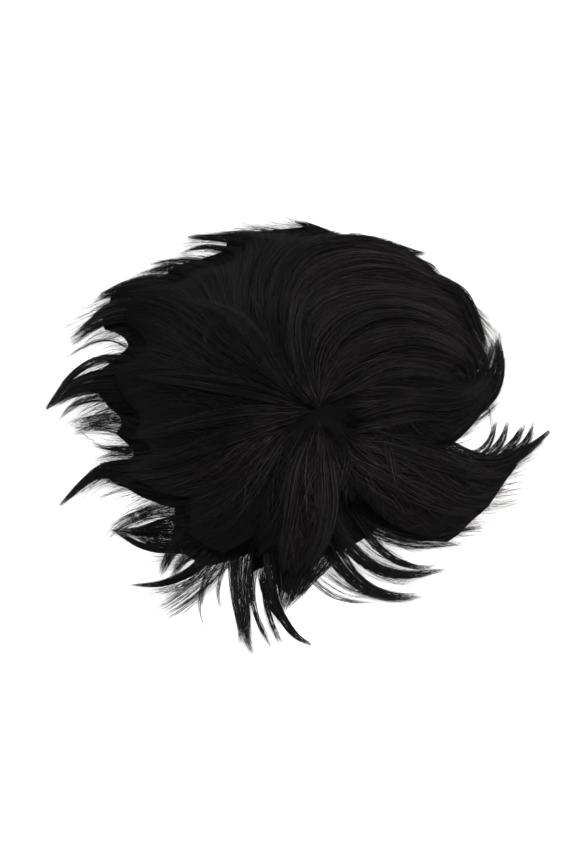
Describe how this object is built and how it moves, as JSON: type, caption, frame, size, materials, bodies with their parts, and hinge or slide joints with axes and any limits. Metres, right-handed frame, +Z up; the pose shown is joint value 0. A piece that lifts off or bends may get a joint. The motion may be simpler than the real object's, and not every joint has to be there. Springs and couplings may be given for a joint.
{
  "type": "toupee",
  "caption": "Short black toupee with swirled locks, an open domed net base under it, lying flat on its rim and lowest hair.",
  "frame": {"origin": "centre of the bounding box, on the surface that the toupee lies on", "axes": "+Z up through the crown, -Y towards the wearer's face as laid out, +X to the viewer's right"},
  "size_m": [0.3442, 0.3446, 0.0516],
  "materials": {
    "base_net": "fine black net cloth, matt",
    "under_fibre": "black hair, soft sheen",
    "middle_fibre": "black hair, soft sheen",
    "top_fibre": "black hair with a brown cast, soft sheen"
  },
  "bodies": {
    "root": {"base_cap": "base_net", "under_layer": "under_fibre", "middle_layer": "middle_fibre", "top_layer": "top_fibre"}
  },
  "joints": []
}
